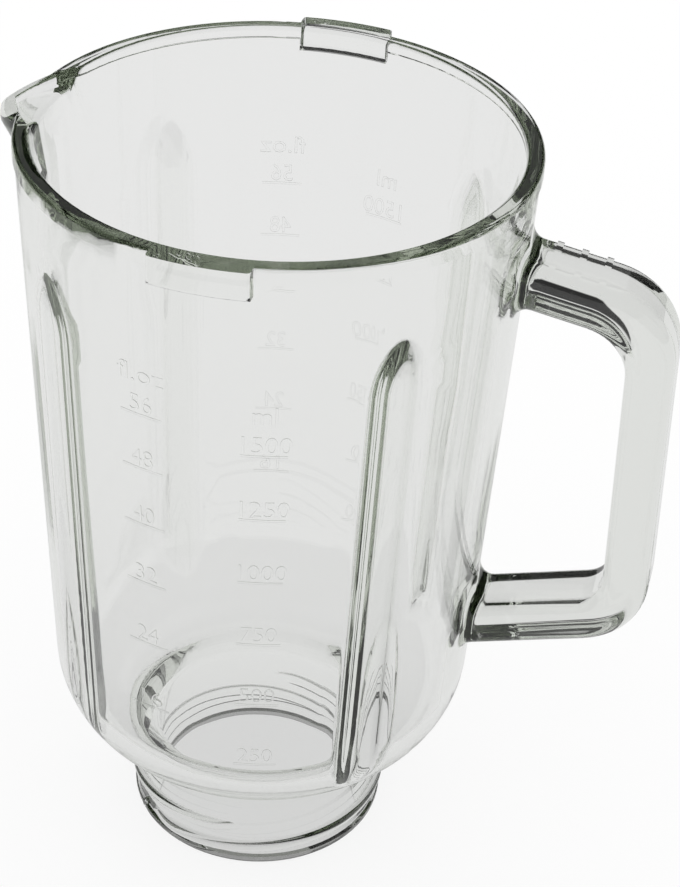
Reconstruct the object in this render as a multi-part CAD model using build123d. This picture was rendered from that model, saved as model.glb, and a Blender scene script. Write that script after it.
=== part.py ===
from build123d import *
from math import acos, atan2, cos, degrees, radians, sin, sqrt, tan
import os

# One-piece pressed glass blender jar, open at the rim and through the neck.
# Origin on the jar axis at the foot face, +Z up, +X toward the handle, -X toward the spout.

# Jar body
jar_height = 228.5
rim_radius = 68.9
rim_wall = 4.4
rim_edge_round = 1.4
rim_band_height = 4.5
rim_band_proud = 0.3
wall_taper = 2.45
bowl_radius = 28.0
floor_wall = 4.8

# Neck under the bowl, threaded on the outside for the screw collar
neck_length = 33.4
bore_radius = 31.0
bore_lip_round = 13.0
bore_edge_round = 0.6
foot_radius = 38.4
foot_height = 3.2
foot_edge_round = 2.2
thread_root_radius = 37.7
collar_radius = 39.1
collar_height = 10.2
collar_slope = 1.0
neck_round = 6.0

# Round ribs inside the wall, midway between handle, lugs and spout, with drops measured from the rim
rib_count = 4
rib_radius = 6.2
rib_depth = 5.0
rib_top_drop = 27.5
rib_crest_drop = 40.0
rib_bend = 24.0
rib_foot_round = 5.0

# Lid lugs on the rim
lug_width = 26.0
lug_proud = 2.7
lug_height = 8.2
lug_round = 1.2

# Handle: reach from the rim to the grip's centre, arms set from the rim and the bowl
handle_width = 20.0
handle_edge_round = 4.6
grip_reach = 36.1
grip_thickness = 12.8
grip_lean = 1.6
top_arm_drop = 28.2
top_arm_fall = 9.5
low_arm_lift = 24.8
low_arm_rise = 17.0
arm_thickness = 14.0
outer_bend = 22.0
top_inner_bend = 14.0
low_inner_bend = 8.0
handle_root_round = 4.0

# Thumb bars over the top arm, counted from the wall
thumb_bar_count = 3
thumb_bar_first = 6.5
thumb_bar_pitch = 6.7
thumb_bar_width = 1.8
thumb_bar_proud = 0.6
thumb_bar_wrap = 1.8

# Pouring spout, its lip dipping away from the rim
spout_half_width = 17.0
spout_half_angle = 53.0
spout_side_bulge = 2.2
spout_dip = 18.0
spout_depth = 23.0
spout_taper = 10.0
spout_tip_round = 5.0
spout_lip_round = 3.5
channel_half_width = 11.0
channel_half_angle = 55.0
channel_side_bulge = 1.5
channel_depth = 3.7
channel_taper = 25.0
channel_tip_round = 1.5
channel_sill_round = 2.0

# Cutters run past the faces they open by this much
overrun = 5.0


def outer_radius(height):
    """Radius of the tapered outside wall at a height."""
    return rim_radius - (jar_height - height) * tan(radians(wall_taper))


# Jar section: circles of the bowl and straight walls tangent to them
bowl_top = neck_length + bowl_radius * (1 - sin(radians(wall_taper)))
bowl_centre = Vector(
    outer_radius(bowl_top) - bowl_radius * cos(radians(wall_taper)),
    neck_length + bowl_radius,
)
inner_bowl_radius = bowl_radius - floor_wall
mouth_radius = rim_radius - rim_wall

# Heights and places worked out from the rim and the bowl
collar_bottom = neck_length - collar_height
rib_top = jar_height - rib_top_drop
rib_crest_top = jar_height - rib_crest_drop
top_arm_height = jar_height - top_arm_drop
low_arm_height = bowl_top + low_arm_lift
handle_reach = rim_radius + grip_reach


def inner_tangent():
    """Point where the straight inside wall leaves the bowl's inside circle."""
    across = mouth_radius - bowl_centre.X
    rise = jar_height - bowl_centre.Y
    turn = atan2(rise, across) - acos(inner_bowl_radius / sqrt(across**2 + rise**2))
    return bowl_centre + Vector(cos(turn), sin(turn)) * inner_bowl_radius


def inner_radius(height):
    """Radius of the tapered inside wall at a height."""
    start = inner_tangent()
    share = (height - start.Y) / (jar_height - start.Y)
    return start.X + share * (mouth_radius - start.X)


def bowl_arc(radius, start, end):
    """Part of a bowl circle, from the wall's tangent point to a point low on the bowl."""
    first = degrees(atan2(start.Y - bowl_centre.Y, start.X - bowl_centre.X))
    last = degrees(atan2(end.Y - bowl_centre.Y, end.X - bowl_centre.X))
    return CenterArc(bowl_centre, radius, first, last - first)


def turned(section, arc=360):
    """Solid turned about the jar axis from a radius and height section."""
    return revolve(Plane.XZ * section, Axis.Z, revolution_arc=arc)


def outer_body():
    """Outside of bowl, wall and banded rim, as a full solid."""
    band_start = jar_height - rim_band_height
    band_radius = rim_radius + rim_band_proud
    edge_start = jar_height - rim_edge_round
    wall_foot = Vector(outer_radius(bowl_top), bowl_top)
    lowest = Vector(bowl_centre.X, neck_length)
    arc = bowl_arc(bowl_radius, wall_foot, lowest)
    sides = Polyline(
        wall_foot,
        (outer_radius(band_start - rim_band_proud), band_start - rim_band_proud),
        (band_radius, band_start),
        (band_radius, edge_start),
    )
    edge = CenterArc((band_radius - rim_edge_round, edge_start), rim_edge_round, 0, 90)
    closing = Polyline(
        (band_radius - rim_edge_round, jar_height),
        (0, jar_height),
        (0, neck_length),
        lowest,
    )
    return turned(make_face(arc + sides + edge + closing))


def neck():
    """Outside of the neck: foot ring, thread barrel and collar under the bowl."""
    foot_slope = foot_radius - thread_root_radius
    outline = Polyline(
        (0, 0),
        (foot_radius, 0),
        (foot_radius, foot_height),
        (thread_root_radius, foot_height + foot_slope),
        (thread_root_radius, collar_bottom),
        (collar_radius, collar_bottom + collar_slope),
        (collar_radius, bowl_centre.Y),
        (0, bowl_centre.Y),
        close=True,
    )
    section = make_face(outline)
    foot_edge = section.vertices().sort_by_distance((foot_radius, 0))[0]
    return turned(fillet(foot_edge, foot_edge_round))


def room_section():
    """Section of the room inside, from the flared rim down the bowl and its round lip through the bore."""
    start = inner_tangent()
    edge_start = jar_height - rim_edge_round
    edge_radius = mouth_radius + rim_edge_round
    flare_radius = bore_radius + bore_edge_round
    side = Line(start, (inner_radius(edge_start), edge_start))
    flare = RadiusArc((inner_radius(edge_start), edge_start), (edge_radius, jar_height), rim_edge_round)
    lip_across = bore_radius + bore_lip_round - bowl_centre.X
    lip_span = inner_bowl_radius + bore_lip_round
    lip_centre = bowl_centre + Vector(lip_across, -sqrt(lip_span**2 - lip_across**2))
    lip_top = bowl_centre + (lip_centre - bowl_centre) * (inner_bowl_radius / lip_span)
    lip_foot = Vector(bore_radius, lip_centre.Y)
    bowl = bowl_arc(inner_bowl_radius, start, lip_top)
    lip = RadiusArc(lip_top, lip_foot, -bore_lip_round)
    bore = Line(lip_foot, (bore_radius, bore_edge_round))
    foot = RadiusArc((bore_radius, bore_edge_round), (flare_radius, 0), -bore_edge_round)
    closing = Polyline(
        (flare_radius, 0),
        (flare_radius, -overrun),
        (0, -overrun),
        (0, jar_height + overrun),
        (edge_radius, jar_height + overrun),
        (edge_radius, jar_height),
    )
    return make_face(side + flare + bowl + lip + bore + foot + closing)


def rib():
    """One inside rib on the +X side: a round bead down the wall, its upper end leaning into the wall."""
    sink = rib_radius - rib_depth
    low = Vector(inner_radius(neck_length) + sink, 0, neck_length)
    crest_top = Vector(inner_radius(rib_crest_top) + sink, 0, rib_crest_top)
    wall_end = Vector(inner_radius(rib_top) + rib_radius, 0, rib_top)
    beyond = wall_end + (wall_end - crest_top).normalized() * overrun
    path = FilletPolyline(low, crest_top, beyond, radius=rib_bend)
    start = Plane(origin=low, z_dir=crest_top - low)
    return sweep(start * Circle(rib_radius), path)


def bay():
    """Share of the room round one rib, with the rib left out of it and its foot rounded."""
    step = 360 / rib_count
    sector = Rot(0, 0, -step / 2) * turned(room_section(), step)
    bead = rib()
    return fillet(new_edges(sector, bead, combined=sector - bead), rib_foot_round)


def ribbed_plug():
    """The whole room inside the jar with its ribs left out, one bay turned round the axis."""
    first = bay()
    half_step = 180 / rib_count
    return Part() + [Rot(0, 0, half_step + index * 2 * half_step) * first for index in range(rib_count)]


def lug():
    """One lid lug on the +Y side, flush with the rim's top."""
    strip = Pos(0, rim_radius) * Rectangle(lug_width, rim_radius)
    plan = Circle(rim_radius + rim_band_proud + lug_proud) & strip
    block = extrude(Pos(0, 0, jar_height) * plan, -lug_height)
    outside = block.edges().filter_by(lambda edge: edge.center().Y > rim_radius - lug_proud)
    outside = outside.filter_by(lambda edge: edge.center().Z < jar_height - lug_round)
    ends = outside.filter_by(Axis.Z)
    under = outside.filter_by(GeomType.CIRCLE)
    return fillet(ends + under, lug_round)


def meet(point, angle, other, other_angle):
    """Crossing of two lines given by a point and a direction in degrees."""
    along = Vector(cos(radians(angle)), sin(radians(angle)))
    across = Vector(-sin(radians(other_angle)), cos(radians(other_angle)))
    return point + along * (across.dot(other - point) / across.dot(along))


def handle_loop(arm_side, grip_side, start, bends):
    """Closed outline through the handle, set off its centre lines to one side."""
    top_angle = -top_arm_fall
    grip_angle = 90 + grip_lean
    low_angle = low_arm_rise
    top = Vector(outer_radius(top_arm_height), top_arm_height + arm_side / cos(radians(top_angle)))
    low = Vector(outer_radius(low_arm_height), low_arm_height - arm_side / cos(radians(low_angle)))
    middle = (top_arm_height + low_arm_height) / 2
    grip = Vector(handle_reach + grip_side / cos(radians(grip_lean)), middle)
    corners = [
        meet(top, top_angle, grip, grip_angle),
        meet(low, low_angle, grip, grip_angle),
    ]
    top_start = meet(top, top_angle, Vector(start, 0), 90)
    low_start = meet(low, low_angle, Vector(start, 0), 90)
    face = make_face(Polyline(top_start, *corners, low_start, close=True))
    for corner, bend in zip(corners, bends):
        face = fillet(face.vertices().sort_by_distance(corner)[0], bend)
    return face


def handle():
    """Solid bar handle: two arms and a grip, round-edged."""
    root = outer_radius(bowl_top) - overrun
    outside = handle_loop(arm_thickness / 2, grip_thickness / 2, root, (outer_bend, outer_bend))
    gap_start = root - overrun
    inner_bends = (top_inner_bend, low_inner_bend)
    inside = handle_loop(-arm_thickness / 2, -grip_thickness / 2, gap_start, inner_bends)
    bar = extrude(Plane.XZ * (outside - inside), handle_width / 2, both=True)
    sides = bar.faces().filter_by(Axis.Y).edges()
    long_edges = sides.filter_by(lambda edge: edge.center().X > root + overrun / 2)
    return fillet(long_edges, handle_edge_round)


def thumb_bars():
    """Low bars across the top arm, wrapping a little over its edges."""
    bar = RectangleRounded(
        handle_width + 2 * thumb_bar_proud,
        arm_thickness + 2 * thumb_bar_proud,
        handle_edge_round + thumb_bar_proud,
    )
    upper = Pos(0, arm_thickness / 2) * Rectangle(2 * handle_width, 2 * thumb_bar_wrap)
    section = bar & upper
    fall = radians(top_arm_fall)
    bars = []
    for index in range(thumb_bar_count):
        along = thumb_bar_first + index * thumb_bar_pitch
        across_arm = Plane(
            origin=(outer_radius(top_arm_height) + along, 0, top_arm_height - along * tan(fall)),
            x_dir=(0, 1, 0),
            z_dir=(cos(fall), 0, -sin(fall)),
        )
        bars.append(extrude(across_arm * section, thumb_bar_width / 2, both=True))
    return bars


def spout_plane():
    """Plane of the dipping lip, hinged on the rim, with its local X out along the spout."""
    dip = radians(spout_dip)
    hinge = sqrt(rim_radius**2 - spout_half_width**2)
    return Plane(
        origin=(-hinge, 0, jar_height),
        x_dir=(-cos(dip), 0, -sin(dip)),
        z_dir=(-sin(dip), 0, cos(dip)),
    )


def round_tipped(half_width, half_angle, side_bulge, tip_round):
    """Triangle on a base line across local X, with bulging sides and a round tip."""
    tip = Vector(half_width / tan(radians(half_angle)), 0)
    base = Line((0, -half_width), (0, half_width))
    sides = SagittaArc((0, half_width), tip, side_bulge) + SagittaArc(tip, (0, -half_width), side_bulge)
    face = make_face(base + sides)
    return fillet(face.vertices().sort_by_distance(tip)[0], tip_round)


def beak():
    """Outside of the pouring spout, thick and round under its dipping lip."""
    lip = spout_plane()
    outline = round_tipped(spout_half_width, spout_half_angle, spout_side_bulge, spout_tip_round)
    solid = extrude(lip * outline, -spout_depth, taper=spout_taper)
    top = solid.faces().sort_by(Axis(lip.origin, lip.z_dir))[-1]
    lip_edges = top.edges().filter_by(lambda edge: edge.center().X < lip.origin.X - spout_side_bulge)
    return fillet(lip_edges, spout_lip_round)


def lip_cutter():
    """Room above the dipping lip, outside its hinge line."""
    reach = spout_half_width / tan(radians(spout_half_angle))
    above = Pos(reach / 2, 0) * Rectangle(reach, 2 * spout_half_width)
    return extrude(spout_plane() * above, spout_depth)


def channel():
    """Pouring channel with a level floor, open to the inside of the jar."""
    rise = channel_depth + overrun
    spread = rise * tan(radians(channel_taper))
    low_half = channel_half_width + overrun * tan(radians(channel_half_angle))
    high_half = low_half + spread / cos(radians(channel_half_angle))
    low = round_tipped(low_half, channel_half_angle, channel_side_bulge, channel_tip_round)
    high = round_tipped(high_half, channel_half_angle, channel_side_bulge, channel_tip_round + spread)
    floor = Plane((overrun - mouth_radius, 0, jar_height - channel_depth), x_dir=(-1, 0, 0), z_dir=(0, 0, 1))
    return loft([floor * low, floor.offset(rise) * high], ruled=True)


def with_channel(jar):
    """Jar with the pouring channel cut and its sill to the inside rounded."""
    jar -= channel()
    sill = Vector(-mouth_radius, 0, jar_height - channel_depth)
    return fillet(jar.edges().sort_by_distance(sill)[0], channel_sill_round)


def glass_jar():
    """Pressed glass jar with its handle, lugs, spout and ribs in one piece."""
    body = outer_body()
    stem = neck()
    jar = fillet(new_edges(body, stem, combined=body + stem), neck_round)
    bar = handle()
    jar = fillet(new_edges(jar, bar, combined=jar + bar), handle_root_round)
    jar += thumb_bars()
    jar += [lug(), Rot(0, 0, 180) * lug()]
    jar += beak()
    jar -= lip_cutter()
    return with_channel(jar - ribbed_plug())


os.makedirs("parts", exist_ok=True)
export_step(glass_jar(), "parts/glass_jar.step")
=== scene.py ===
"""Looks of a pressed glass blender jar: its glass with neck thread and raised scale, and a white studio."""

from math import atan2, radians, tau

import bmesh
import bpy
from bpy.props import FloatProperty, FloatVectorProperty, IntProperty, PointerProperty, StringProperty
from mathutils import Matrix, Vector
from mathutils.bvhtree import BVHTree
from mathutils.interpolate import poly_3d_calc


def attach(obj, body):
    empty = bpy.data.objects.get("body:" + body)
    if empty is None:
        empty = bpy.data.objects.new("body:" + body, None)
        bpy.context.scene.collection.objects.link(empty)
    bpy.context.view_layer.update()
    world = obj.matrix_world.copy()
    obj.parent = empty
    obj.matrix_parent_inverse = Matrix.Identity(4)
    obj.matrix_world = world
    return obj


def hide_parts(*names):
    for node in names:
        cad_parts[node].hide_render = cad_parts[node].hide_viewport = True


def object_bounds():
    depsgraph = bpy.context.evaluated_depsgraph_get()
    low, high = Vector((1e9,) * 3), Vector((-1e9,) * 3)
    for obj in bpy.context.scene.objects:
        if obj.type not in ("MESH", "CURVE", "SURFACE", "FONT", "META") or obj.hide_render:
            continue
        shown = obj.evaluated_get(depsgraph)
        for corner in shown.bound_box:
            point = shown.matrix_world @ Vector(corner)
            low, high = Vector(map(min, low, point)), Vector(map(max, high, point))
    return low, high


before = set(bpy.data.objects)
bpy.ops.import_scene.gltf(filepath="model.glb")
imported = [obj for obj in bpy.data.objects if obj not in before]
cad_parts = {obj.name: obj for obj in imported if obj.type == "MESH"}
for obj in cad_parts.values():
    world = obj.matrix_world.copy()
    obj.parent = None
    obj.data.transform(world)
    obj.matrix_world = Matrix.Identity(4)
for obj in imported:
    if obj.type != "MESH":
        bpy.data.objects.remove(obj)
cad_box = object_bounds()

bl_info = {
    "name": "Pressed Glass Blender Jar",
    "version": (1, 0, 0),
    "blender": (4, 5, 0),
    "location": "View3D > Sidebar > Glass Jar",
    "description": "Dresses the packed jar in clear pressed glass and sets a white studio round it",
    "category": "Object",
}

JAR_NODE = "glass_jar"
BODY = "root"

WHITE = (1, 1, 1, 1)
ORIGIN = (0, 0, 0)
QUARTER_TURN = tau / 4

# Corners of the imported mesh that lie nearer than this, in metres, are one corner
CORNER_WELD = 1e-7
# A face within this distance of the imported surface, in metres, is a piece of it
ON_SURFACE = 1e-6
# Least cosine between the normals of two faces that look the same way
SAME_WAY = 0.9


# Kinds of settings


def length(name, description, default):
    """Property for a length in metres."""
    return FloatProperty(
        name=name, description=description, default=default, subtype="DISTANCE", unit="LENGTH"
    )


def angle(name, description, default):
    """Property for an angle, its default given in degrees."""
    return FloatProperty(
        name=name, description=description, default=radians(default), subtype="ANGLE", unit="ROTATION"
    )


def position(name, description, default):
    """Property for a place in the jar's frame, in metres."""
    return FloatVectorProperty(
        name=name, description=description, default=default, subtype="TRANSLATION", unit="LENGTH"
    )


def colour(name, description, default):
    """Property for a colour."""
    return FloatVectorProperty(
        name=name, description=description, default=default, min=0, max=1, subtype="COLOR"
    )


def share(name, description, default):
    """Property for a share from none to all."""
    return FloatProperty(
        name=name, description=description, default=default, min=0, max=1, subtype="FACTOR"
    )


def amount(name, description, default, least=0):
    """Property for a plain amount."""
    return FloatProperty(name=name, description=description, default=default, min=least)


def count(name, description, default, least=0):
    """Property for a whole number."""
    return IntProperty(name=name, description=description, default=default, min=least)


# Settings of the jar and its studio


class GlassSettings(bpy.types.PropertyGroup):
    """Clear pressed glass with a green cast in its depth."""

    ior: amount("IOR", "How far the glass bends light", 1.51, least=1)
    depth_tint: colour("Depth Tint", "Colour that long ways through the glass take on", (0.75, 0.78, 0.72))
    density: amount("Density", "How fast the tint builds up, per metre of glass", 22.0)
    shadow_tint: colour(
        "Shadow Tint", "Share of light that each wall lets through to the floor", (0.93, 0.95, 0.94)
    )
    haze: share("Haze", "Most roughness that wear leaves on the polish", 0.02)
    wear_size: length("Wear Size", "Width of the worn patches", 0.015)
    wear_detail: amount("Wear Detail", "Layers of finer patches within the worn ones", 4.0)
    wear_from: share("Wear From", "Height of the wear pattern at which haze sets in", 0.55)
    wear_to: share("Wear To", "Height of the wear pattern at which haze is full", 0.85)
    ripple_size: length("Ripple Size", "Width of the soft ripples left by the mould", 0.030)
    ripple_detail: amount("Ripple Detail", "Layers of finer ripples within the soft ones", 1.0)
    ripple_height: length("Ripple Height", "Height of the soft ripples", 0.00002)
    crease: angle("Crease", "Sharpest bend between faces that still looks smooth", 35)


class ThreadSettings(bpy.types.PropertyGroup):
    """Coarse thread on the neck."""

    starts: count("Starts", "Number of ridges round the neck", 2, least=1)
    lead: length("Lead", "Rise of a ridge in one turn", 0.0154)
    bottom: length("Bottom", "Height of a ridge's lower end", 0.0046)
    top: length("Top", "Height of a ridge's upper end", 0.0150)
    top_angle: angle("Top Angle", "Where the first ridge ends, counted from the handle", -75)
    fade: angle("Fade", "Turn over which each end runs out into the neck", 24)
    end_sink: amount("End Sink", "How deep the ends sink into the neck, as a share of the height", 1.2)
    width: length("Width", "Width of a ridge at its foot", 0.0044)
    proud: length("Proud", "How far a ridge stands off the neck", 0.0016)
    sides: count("Sides", "Sides of a ridge's section", 20, least=8)
    steps: count("Steps", "Steps along a ridge", 120, least=24)


class ScaleSettings(bpy.types.PropertyGroup):
    """Raised measuring scale beside each lid lug."""

    spread: angle("Spread", "Turn from a lug's middle to each column of figures", 14.1)
    marks: count("Marks", "Number of lines in a column", 6, least=1)
    raised: length("Raised", "How far the figures stand off the wall", 0.0001)
    sunk: length("Sunk", "How far the figures reach into the wall", 0.0003)
    figure_height: length("Figure Height", "Height of a figure", 0.0053)
    figure_width: length("Figure Width", "Width of one figure", 0.0032)
    figure_gap: length("Figure Gap", "Room between a figure and its line", 0.0009)
    line_length: length("Line Length", "Length of the line under a figure", 0.0120)
    line_width: length("Line Width", "Width of the line under a figure", 0.0006)
    line_cuts: count("Line Cuts", "Cuts that let a line bend round the wall", 7)
    unit_gap: length("Unit Gap", "Rise from the top line to the unit over a column", 0.0100)
    curve_steps: count("Curve Steps", "Steps in each curve of a figure's outline", 3, least=1)
    edge_round: length("Edge Round", "Rounding of the figures' edges", 0.0001)
    edge_steps: count("Edge Steps", "Steps in the rounding of the figures' edges", 2)
    weld: length("Weld", "Corners of a figure that lie nearer than this are one corner", 0.00001)


class OunceSettings(bpy.types.PropertyGroup):
    """Column of fluid ounces."""

    unit: StringProperty(name="Unit", description="Unit over the column", default="fl.oz")
    unit_width: length("Unit Width", "Width of the unit", 0.0135)
    first_figure: count("First Figure", "Figure on the lowest line", 16)
    figure_step: count("Figure Step", "What each line adds to the figure below it", 8)
    first_height: length("First Height", "Height of the lowest line", 0.0774)
    first_rise: length("First Rise", "Rise from the lowest line to the next", 0.0234)
    rise_share: share("Rise Share", "Each further rise as a share of the one below it", 0.925)


class MillilitreSettings(bpy.types.PropertyGroup):
    """Column of millilitres."""

    unit: StringProperty(name="Unit", description="Unit over the column", default="ml")
    unit_width: length("Unit Width", "Width of the unit", 0.0064)
    first_figure: count("First Figure", "Figure on the lowest line", 250)
    figure_step: count("Figure Step", "What each line adds to the figure below it", 250)
    first_height: length("First Height", "Height of the lowest line", 0.0634)
    first_rise: length("First Rise", "Rise from the lowest line to the next", 0.0229)
    rise_share: share("Rise Share", "Each further rise as a share of the one below it", 0.975)


class FloorSettings(bpy.types.PropertyGroup):
    """White floor, with a painted shade inside the foot."""

    size: length("Size", "Width of the floor", 8.0)
    drop: length("Drop", "How far the floor lies under the foot, to keep the two apart", 0.0003)
    white: share("White", "Brightness of the floor by itself as the camera sees it", 0.84)
    level: share("Level", "Brightness of the floor by itself as seen through the glass", 0.66)
    matt: share("Matt", "Share of the light of lamp and sky that the floor gives back", 0.15)
    # Painted shade: the floor's glow, as seen through the glass, is darker inside the foot
    shade: share("Shade", "Share of the floor's brightness that is left inside the foot", 0.95)
    shade_from: length("Shade From", "Radius of the full shade inside the foot", 0.030)
    shade_to: length("Shade To", "Radius at which the shade has gone", 0.080)


class PaintedCardSettings(bpy.types.PropertyGroup):
    """Painted dark card on the floor behind the jar: painted shade that only the handle's top arm shows."""

    middle: length("Middle", "X of the card's middle", 0.03)
    half: length("Half", "Half of the card's full dark width", 0.2)
    soft: length("Soft", "Width over which the card's sides fade", 0.25)
    near: length("Near", "How far behind the jar the card starts to darken the floor", 0.5)
    full: length("Full", "How far behind the jar the card is fully dark", 0.56)
    end: length("End", "How far behind the jar the card starts to fade again", 1.6)
    far: length("Far", "How far behind the jar the card has gone", 2.4)
    arm: position("Arm", "Middle of the handle's top arm", (0.1, 0.01, 0.18))
    arm_reach: length("Arm Reach", "How far from there light may leave the glass for the full card", 0.015)
    arm_fade: length("Arm Fade", "Further reach over which the card fades", 0.010)
    passes: count("Passes", "Most surfaces that light crosses on its way to the card", 2)
    level: share("Level", "Brightness of the card as seen in the glass", 0.03)


class StageSettings(bpy.types.PropertyGroup):
    """Backdrop, softbox and camera."""

    backdrop: share("Backdrop", "Brightness of the backdrop to the camera and the floor", 1.0)
    room_level: share("Room Level", "Brightness of the room round the floor as seen in the glass", 0.015)
    lamp_size: length("Lamp Size", "Width of the softbox", 1.4)
    lamp_power: FloatProperty(
        name="Lamp Power", description="Power of the softbox", default=2.0, subtype="POWER", unit="POWER"
    )
    lamp_place: position("Lamp Place", "Where the softbox hangs, turned to the jar's foot", (-0.15, 0.9, 1.3))
    bounces: count("Bounces", "Turns that light may take in the glass", 96, least=8)
    camera_place: position("Camera Place", "Where the camera stands", (0.13705, -0.50929, 0.50197))
    camera_turn: FloatVectorProperty(
        name="Camera Turn",
        description="Which way the camera looks",
        subtype="EULER",
        unit="ROTATION",
        default=(radians(54.816), radians(-2.665), radians(14.747)),
    )
    lens: FloatProperty(
        name="Lens",
        description="Focal length of the camera",
        default=91.97,
        subtype="DISTANCE_CAMERA",
        unit="CAMERA",
    )
    film: FloatProperty(
        name="Film",
        description="Height of the camera's film",
        default=36.0,
        subtype="DISTANCE_CAMERA",
        unit="CAMERA",
    )


class JarSettings(bpy.types.PropertyGroup):
    """All settings of the jar and its studio."""

    glass: PointerProperty(type=GlassSettings)
    thread: PointerProperty(type=ThreadSettings)
    scale: PointerProperty(type=ScaleSettings)
    ounces: PointerProperty(type=OunceSettings)
    millilitres: PointerProperty(type=MillilitreSettings)
    floor: PointerProperty(type=FloorSettings)
    # Painted dark card, which paints shade into the handle's top arm
    card: PointerProperty(type=PaintedCardSettings)
    stage: PointerProperty(type=StageSettings)


def settings():
    """Settings of the jar in the open scene."""
    return bpy.context.scene.glass_jar


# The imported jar


def jar_node():
    """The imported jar."""
    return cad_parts[JAR_NODE]


def jar_surface():
    """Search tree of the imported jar's surface."""
    return BVHTree.FromObject(jar_node(), bpy.context.evaluated_depsgraph_get())


def outside_radius(surface, turn, height):
    """Radius of the jar's outside at a turn from the handle and a height."""
    far = cad_box[1][0] - cad_box[0][0]
    inward = Matrix.Rotation(turn, 3, "Z") @ Vector((-1, 0, 0))
    hit = surface.ray_cast(Vector((0, 0, height)) - inward * far, inward)[0]
    if hit is None:
        raise RuntimeError(f"no outside wall at height {height}")
    return hit.xy.length


# Meshes and objects


def link_object(name, data):
    """New object at the origin of the open scene."""
    thing = bpy.data.objects.new(name, data)
    bpy.context.scene.collection.objects.link(thing)
    return thing


def new_mesh(name, shape):
    """New mesh from a bmesh, which is freed."""
    mesh = bpy.data.meshes.new(name)
    shape.to_mesh(mesh)
    shape.free()
    return mesh


def finished_mesh(piece):
    """New mesh of an object as its bevels and modifiers leave it."""
    return bpy.data.meshes.new_from_object(piece.evaluated_get(bpy.context.evaluated_depsgraph_get()))


def move_into(shape, mesh):
    """Add a mesh to a bmesh and remove the mesh."""
    shape.from_mesh(mesh)
    bpy.data.meshes.remove(mesh)


# Neck thread


def eased(part):
    """Smooth rise from 0 to 1."""
    part = min(max(part, 0), 1)
    return part * part * (3 - 2 * part)


def thread_ridge(shape, root, top_angle):
    """Add one ridge that climbs the neck and runs out into it at both ends."""
    thread = settings().thread
    rise = thread.top - thread.bottom
    turn = rise / thread.lead * tau
    start = top_angle - turn
    ridge = bmesh.new()
    bmesh.ops.create_circle(ridge, cap_ends=True, radius=1, segments=thread.sides)
    bmesh.ops.scale(ridge, vec=(thread.proud, thread.width / 2, 1), verts=ridge.verts)
    bmesh.ops.rotate(ridge, matrix=Matrix.Rotation(QUARTER_TURN, 3, "X"), verts=ridge.verts)
    bmesh.ops.translate(ridge, vec=(root, 0, thread.bottom), verts=ridge.verts)
    bmesh.ops.rotate(ridge, matrix=Matrix.Rotation(start, 3, "Z"), verts=ridge.verts)
    bmesh.ops.spin(
        ridge,
        geom=ridge.faces[:],
        cent=ORIGIN,
        axis=(0, 0, 1),
        dvec=(0, 0, rise / thread.steps),
        angle=turn,
        steps=thread.steps,
    )
    for vert in ridge.verts:
        along = (atan2(vert.co.y, vert.co.x) - start) % tau
        to_end = min(along, abs(turn - along))
        sunk = thread.proud * (1 - eased(to_end / thread.fade)) * thread.end_sink
        vert.co.xy -= vert.co.xy.normalized() * sunk
    bmesh.ops.recalc_face_normals(ridge, faces=ridge.faces)
    move_into(shape, new_mesh("ridge", ridge))


class JAR_OT_thread(bpy.types.Operator):
    """Make the ridges of the neck's thread"""

    bl_idname = "jar.thread"
    bl_label = "Neck Thread"

    def execute(self, context):
        thread = settings().thread
        root = outside_radius(jar_surface(), thread.top_angle, (thread.bottom + thread.top) / 2)
        shape = bmesh.new()
        for index in range(thread.starts):
            thread_ridge(shape, root, thread.top_angle + index * tau / thread.starts)
        link_object("neck_thread", new_mesh("neck_thread", shape))
        return {"FINISHED"}


# Measuring scale


def figures(words, width):
    """Mesh of raised figures, standing on the X axis and centred on it."""
    scale = settings().scale
    line = bpy.data.curves.new("figures", "FONT")
    line.body = words
    line.align_x = "CENTER"
    line.resolution_u = scale.curve_steps
    writing = link_object("figures", line)
    bpy.context.view_layer.update()
    line.size *= scale.figure_height / writing.dimensions.y
    line.extrude = (scale.raised + scale.sunk) / 2 - scale.edge_round
    line.bevel_depth = scale.edge_round
    line.bevel_resolution = scale.edge_steps
    line.offset = -scale.edge_round
    bpy.context.view_layer.update()
    mesh = finished_mesh(writing)
    squeeze = width / writing.dimensions.x
    bpy.data.objects.remove(writing)
    bpy.data.curves.remove(line)
    mesh.transform(Matrix.Diagonal((squeeze, 1, 1, 1)))
    return mesh


def underline():
    """Mesh of the fine line under a figure, along the X axis."""
    scale = settings().scale
    thick = scale.raised + scale.sunk
    bar = bmesh.new()
    bmesh.ops.create_cube(bar, size=1)
    bmesh.ops.scale(bar, vec=(scale.line_length, scale.line_width, thick), verts=bar.verts)
    long_edges = [edge for edge in bar.edges if edge.verts[0].co.x != edge.verts[1].co.x]
    bmesh.ops.subdivide_edges(bar, edges=long_edges, cuts=scale.line_cuts, use_grid_fill=True)
    return new_mesh("underline", bar)


def wrap_on_wall(shape, mesh, surface, turn, height):
    """Add a flat mark to a shape, bent round the jar's outside at a turn and height."""
    scale = settings().scale
    lift = (scale.raised - scale.sunk) / 2
    mark = bmesh.new()
    move_into(mark, mesh)
    bmesh.ops.remove_doubles(mark, verts=mark.verts, dist=scale.weld)
    middle = outside_radius(surface, turn, height)
    for vert in mark.verts:
        here = turn + vert.co.x / middle
        level = height + vert.co.y
        out = outside_radius(surface, here, level) + vert.co.z + lift
        vert.co = Matrix.Rotation(here, 3, "Z") @ Vector((out, 0, level))
    bmesh.ops.recalc_face_normals(mark, faces=mark.faces)
    move_into(shape, new_mesh("mark", mark))


def line_heights(kind):
    """Heights of a column's lines, each rise a fixed share of the one below it."""
    heights = [kind.first_height]
    for index in range(settings().scale.marks - 1):
        heights.append(heights[-1] + kind.first_rise * kind.rise_share**index)
    return heights


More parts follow.
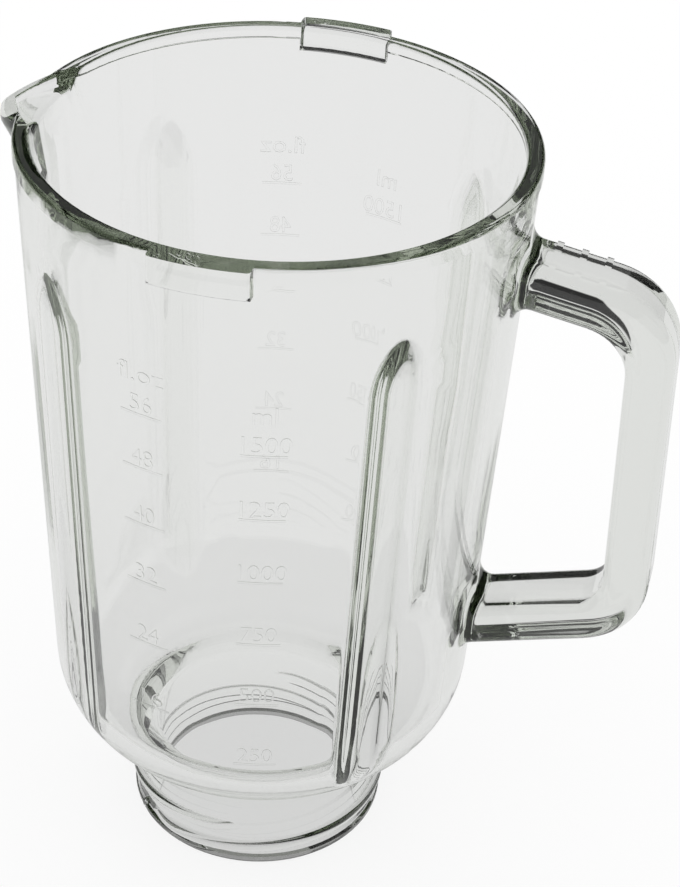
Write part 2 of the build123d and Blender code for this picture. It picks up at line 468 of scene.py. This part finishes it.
def column(shape, surface, turn, kind):
    """Add one column of the scale: lines with figures on them, and the unit on top."""
    scale = settings().scale
    heights = line_heights(kind)
    for index, height in enumerate(heights):
        words = str(kind.first_figure + index * kind.figure_step)
        wrap_on_wall(shape, underline(), surface, turn, height)
        mesh = figures(words, scale.figure_width * len(words))
        wrap_on_wall(shape, mesh, surface, turn, height + scale.figure_gap)
    mesh = figures(kind.unit, kind.unit_width)
    wrap_on_wall(shape, mesh, surface, turn, heights[-1] + scale.unit_gap)


class JAR_OT_scale(bpy.types.Operator):
    """Make the raised measuring scale on both sides"""

    bl_idname = "jar.scale"
    bl_label = "Measuring Scale"

    def execute(self, context):
        spread = settings().scale.spread
        surface = jar_surface()
        shape = bmesh.new()
        for side in (-1, 1):
            lug = side * QUARTER_TURN
            column(shape, surface, lug + side * spread, settings().ounces)
            column(shape, surface, lug - side * spread, settings().millilitres)
        link_object("measuring_scale", new_mesh("measuring_scale", shape))
        return {"FINISHED"}


# Glass


def noise(tree, place, size, detail):
    """Output of a soft pattern whose patches have a size in metres."""
    pattern = tree.nodes.new("ShaderNodeTexNoise")
    pattern.inputs["Scale"].default_value = 1 / size
    pattern.inputs["Detail"].default_value = detail
    tree.links.new(place, pattern.inputs["Vector"])
    return pattern.outputs["Fac"]


def pressed_glass():
    """Clear glass, faintly rippled, that darkens to green along its depth."""
    look = settings().glass
    material = bpy.data.materials.new("pressed_glass")
    material.use_nodes = True
    tree = material.node_tree
    nodes = tree.nodes
    links = tree.links
    glass = nodes["Principled BSDF"]
    glass.inputs["Base Color"].default_value = WHITE
    glass.inputs["IOR"].default_value = look.ior
    glass.inputs["Transmission Weight"].default_value = 1
    place = nodes.new("ShaderNodeTexCoord").outputs["Object"]
    haze = nodes.new("ShaderNodeMapRange")
    haze.inputs["From Min"].default_value = look.wear_from
    haze.inputs["From Max"].default_value = look.wear_to
    haze.inputs["To Max"].default_value = look.haze
    links.new(noise(tree, place, look.wear_size, look.wear_detail), haze.inputs["Value"])
    links.new(haze.outputs["Result"], glass.inputs["Roughness"])
    bump = nodes.new("ShaderNodeBump")
    bump.inputs["Distance"].default_value = look.ripple_height
    links.new(noise(tree, place, look.ripple_size, look.ripple_detail), bump.inputs["Height"])
    links.new(bump.outputs["Normal"], glass.inputs["Normal"])
    through = nodes.new("ShaderNodeBsdfTransparent")
    through.inputs["Color"].default_value = (*look.shadow_tint, 1)
    rays = nodes.new("ShaderNodeLightPath")
    choose = nodes.new("ShaderNodeMixShader")
    links.new(rays.outputs["Is Shadow Ray"], choose.inputs["Fac"])
    links.new(glass.outputs["BSDF"], choose.inputs[1])
    links.new(through.outputs["BSDF"], choose.inputs[2])
    links.new(choose.outputs["Shader"], nodes["Material Output"].inputs["Surface"])
    depth = nodes.new("ShaderNodeVolumeAbsorption")
    depth.inputs["Color"].default_value = (*look.depth_tint, 1)
    depth.inputs["Density"].default_value = look.density
    links.new(depth.outputs["Volume"], nodes["Material Output"].inputs["Volume"])
    return material


def unite(piece, others):
    """Join raised work with a piece into one closed body of glass."""
    for other in others:
        join = piece.modifiers.new(other.name, "BOOLEAN")
        join.operation = "UNION"
        join.solver = "EXACT"
        join.object = other
    whole = finished_mesh(piece)
    piece.modifiers.clear()
    piece.data = whole
    for other in others:
        bpy.data.objects.remove(other)


def smooth_by_angle(mesh):
    """Shade a mesh smooth, apart from its sharp edges."""
    if mesh.has_custom_normals:
        mesh.attributes.remove(mesh.attributes["custom_normal"])
    mesh.shade_smooth()
    mesh.set_sharp_from_angle(angle=settings().glass.crease)


def keep_smooth_normals(mesh, plain):
    """Give a mesh the plain jar's smooth normals wherever its surface is still that of the jar."""
    plain.calc_loop_triangles()
    corners = [vert.co.copy() for vert in plain.vertices]
    tris = [tuple(tri.vertices) for tri in plain.loop_triangles]
    loops = [tuple(tri.loops) for tri in plain.loop_triangles]
    surface = BVHTree.FromPolygons(corners, tris)
    normals = [Vector(normal.vector) for normal in mesh.corner_normals]
    for face in mesh.polygons:
        spot, normal, index, _ = surface.find_nearest(face.center, ON_SURFACE)
        if spot is None or normal.dot(face.normal) < SAME_WAY:
            continue
        triangle = [corners[vert] for vert in tris[index]]
        bent = [plain.corner_normals[loop].vector for loop in loops[index]]
        for loop in face.loop_indices:
            at = mesh.vertices[mesh.loops[loop].vertex_index].co
            weights = poly_3d_calc(triangle, at)
            mixed = sum((weight * way for weight, way in zip(weights, bent)), Vector())
            normals[loop] = mixed.normalized()
    mesh.normals_split_custom_set(normals)


class JAR_OT_glass(bpy.types.Operator):
    """Join the jar with its thread and scale and dress it in pressed glass"""

    bl_idname = "jar.glass"
    bl_label = "Glass Jar"

    def execute(self, context):
        shape = bmesh.new()
        shape.from_mesh(jar_node().data)
        bmesh.ops.remove_doubles(shape, verts=shape.verts, dist=CORNER_WELD)
        piece = link_object("jar_glass", new_mesh("jar_glass", shape))
        smooth_by_angle(piece.data)
        plain = piece.data.copy()
        unite(piece, [bpy.data.objects["neck_thread"], bpy.data.objects["measuring_scale"]])
        smooth_by_angle(piece.data)
        keep_smooth_normals(piece.data, plain)
        bpy.data.meshes.remove(plain)
        piece.data.materials.clear()
        piece.data.materials.append(pressed_glass())
        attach(piece, BODY)
        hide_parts(JAR_NODE)
        return {"FINISHED"}


# Studio


def feed(tree, value, socket):
    """Set a socket to a fixed number, or link an output to it."""
    if isinstance(value, (int, float)):
        socket.default_value = value
    else:
        tree.links.new(value, socket)


def math_node(tree, operation, first, second=0):
    """Output of a sum on two values, linked or fixed."""
    node = tree.nodes.new("ShaderNodeMath")
    node.operation = operation
    feed(tree, first, node.inputs[0])
    feed(tree, second, node.inputs[1])
    return node.outputs["Value"]


def pick(tree, flag, flagged, otherwise):
    """Output of one value where a flag is 1 and of another where it is 0."""
    mix = tree.nodes.new("ShaderNodeMix")
    feed(tree, flag, mix.inputs["Factor"])
    feed(tree, otherwise, mix.inputs["A"])
    feed(tree, flagged, mix.inputs["B"])
    return mix.outputs["Result"]


def distance(tree, place, point):
    """Output of how far a place lies from a fixed point."""
    node = tree.nodes.new("ShaderNodeVectorMath")
    node.operation = "DISTANCE"
    tree.links.new(place, node.inputs[0])
    node.inputs[1].default_value = point
    return node.outputs["Value"]


def soft_step(tree, value, reach, levels):
    """Output that goes smoothly from one level to another over a reach of a value."""
    step = tree.nodes.new("ShaderNodeMapRange")
    step.interpolation_type = "SMOOTHSTEP"
    step.inputs["From Min"].default_value = reach[0]
    step.inputs["From Max"].default_value = reach[1]
    step.inputs["To Min"].default_value = levels[0]
    step.inputs["To Max"].default_value = levels[1]
    tree.links.new(value, step.inputs["Value"])
    return step.outputs["Result"]


def studio_world():
    """Backdrop that is white to the camera and the floor, in a dim room that gives the glass dark edges."""
    stage = settings().stage
    world = bpy.data.worlds.new("studio")
    world.use_nodes = True
    tree = world.node_tree
    rays = tree.nodes.new("ShaderNodeLightPath").outputs
    open_sky = math_node(tree, "MAXIMUM", rays["Is Camera Ray"], rays["Is Diffuse Ray"])
    back = tree.nodes["Background"]
    back.inputs["Color"].default_value = WHITE
    tree.links.new(pick(tree, open_sky, stage.backdrop, stage.room_level), back.inputs["Strength"])
    return world


def painted_card_shown(tree, place, rays):
    """Output of how much of the painted dark card a place on the floor shows to light from the handle's top
    arm, which paints shade into that arm.
    """
    card = settings().card
    axes = tree.nodes.new("ShaderNodeSeparateXYZ")
    tree.links.new(place, axes.inputs["Vector"])
    aside = math_node(tree, "SUBTRACT", axes.outputs["X"], card.middle)
    off_middle = math_node(tree, "ABSOLUTE", aside)
    beyond_arm = math_node(tree, "SUBTRACT", distance(tree, place, card.arm), rays["Ray Length"])
    off_arm = math_node(tree, "ABSOLUTE", beyond_arm)
    shown = math_node(tree, "LESS_THAN", rays["Transmission Depth"], card.passes + 1)
    limits = (
        rays["Is Transmission Ray"],
        soft_step(tree, off_middle, (card.half, card.half + card.soft), (1, 0)),
        soft_step(tree, axes.outputs["Y"], (card.near, card.full), (0, 1)),
        soft_step(tree, axes.outputs["Y"], (card.end, card.far), (1, 0)),
        soft_step(tree, off_arm, (card.arm_reach, card.arm_reach + card.arm_fade), (1, 0)),
    )
    for limit in limits:
        shown = math_node(tree, "MULTIPLY", shown, limit)
    return shown


def white_floor():
    """White floor that glows by itself and takes a faint shadow, with a painted shade inside the foot and a
    painted dark card behind the jar for the handle's top arm.
    """
    floor = settings().floor
    material = bpy.data.materials.new("white_floor")
    material.use_nodes = True
    tree = material.node_tree
    tree.nodes.remove(tree.nodes["Principled BSDF"])
    place = tree.nodes.new("ShaderNodeTexCoord").outputs["Object"]
    rays = tree.nodes.new("ShaderNodeLightPath").outputs
    # Painted shade: the floor's glow and matt colour go dark in the card, as seen only by light from the
    # handle's top arm
    painted_card = painted_card_shown(tree, place, rays)
    level = soft_step(tree, painted_card, (0, 1), (floor.level, settings().card.level))
    # Painted shade: as seen through the glass, the floor's glow darkens inside the foot
    from_middle = distance(tree, place, ORIGIN)
    shade = soft_step(tree, from_middle, (floor.shade_from, floor.shade_to), (floor.shade, 1))
    in_glass = math_node(tree, "MULTIPLY", level, shade)
    glow = tree.nodes.new("ShaderNodeEmission")
    tree.links.new(pick(tree, rays["Is Camera Ray"], floor.white, in_glass), glow.inputs["Strength"])
    matt = tree.nodes.new("ShaderNodeBsdfDiffuse")
    tree.links.new(soft_step(tree, painted_card, (0, 1), (floor.matt, 0)), matt.inputs["Color"])
    both = tree.nodes.new("ShaderNodeAddShader")
    tree.links.new(matt.outputs["BSDF"], both.inputs[0])
    tree.links.new(glow.outputs["Emission"], both.inputs[1])
    tree.links.new(both.outputs["Shader"], tree.nodes["Material Output"].inputs["Surface"])
    return material


def lay_floor():
    """Lay the floor just under the foot."""
    floor = settings().floor
    plane = bmesh.new()
    bmesh.ops.create_grid(plane, x_segments=1, y_segments=1, size=floor.size / 2)
    bmesh.ops.translate(plane, vec=(0, 0, -floor.drop), verts=plane.verts)
    ground = link_object("floor", new_mesh("floor", plane))
    ground.data.materials.append(white_floor())


def hang_softbox():
    """Hang the softbox, turned to the jar's foot."""
    stage = settings().stage
    box = bpy.data.lights.new("softbox", "AREA")
    box.shape = "SQUARE"
    box.size = stage.lamp_size
    box.energy = stage.lamp_power
    lamp = link_object("softbox", box)
    lamp.location = stage.lamp_place
    lamp.rotation_euler = (-Vector(stage.lamp_place)).to_track_quat("-Z", "Y").to_euler()


def set_camera():
    """Set the camera that sees the whole jar from above its front."""
    stage = settings().stage
    camera = bpy.data.cameras.new("camera")
    camera.sensor_fit = "VERTICAL"
    camera.sensor_height = stage.film
    camera.lens = stage.lens
    eye = link_object("camera", camera)
    eye.location = stage.camera_place
    eye.rotation_euler = stage.camera_turn
    bpy.context.scene.camera = eye


class JAR_OT_stage(bpy.types.Operator):
    """Set the floor, light and camera"""

    bl_idname = "jar.stage"
    bl_label = "Stage"

    def execute(self, context):
        bounces = settings().stage.bounces
        scene = context.scene
        scene.view_settings.view_transform = "Standard"
        scene.cycles.max_bounces = bounces
        scene.cycles.transmission_bounces = bounces
        scene.cycles.glossy_bounces = bounces
        scene.world = studio_world()
        lay_floor()
        hang_softbox()
        set_camera()
        return {"FINISHED"}


# Panel and registration

STEPS = (
    (JAR_OT_thread, ("thread",)),
    (JAR_OT_scale, ("scale", "ounces", "millilitres")),
    (JAR_OT_glass, ("glass",)),
    (JAR_OT_stage, ("floor", "card", "stage")),
)


class JAR_PT_panel(bpy.types.Panel):
    """Steps that build the jar's looks, each with its settings"""

    bl_idname = "JAR_PT_panel"
    bl_label = "Glass Jar"
    bl_space_type = "VIEW_3D"
    bl_region_type = "UI"
    bl_category = "Glass Jar"

    def draw(self, context):
        for step, groups in STEPS:
            box = self.layout.box()
            box.operator(step.bl_idname)
            for group in groups:
                values = getattr(settings(), group)
                for name in type(values).__annotations__:
                    box.prop(values, name)


CLASSES = (
    GlassSettings,
    ThreadSettings,
    ScaleSettings,
    OunceSettings,
    MillilitreSettings,
    FloorSettings,
    PaintedCardSettings,
    StageSettings,
    JarSettings,
    JAR_OT_thread,
    JAR_OT_scale,
    JAR_OT_glass,
    JAR_OT_stage,
    JAR_PT_panel,
)


def register():
    """Make the classes and settings known to Blender."""
    for kind in CLASSES:
        bpy.utils.register_class(kind)
    bpy.types.Scene.glass_jar = PointerProperty(type=JarSettings)


def unregister():
    """Take the classes and settings out again."""
    del bpy.types.Scene.glass_jar
    for kind in reversed(CLASSES):
        bpy.utils.unregister_class(kind)


def main():
    """Build the jar's looks and its studio."""
    register()
    bpy.ops.jar.thread()
    bpy.ops.jar.scale()
    bpy.ops.jar.glass()
    bpy.ops.jar.stage()


if __name__ == "__main__":
    main()
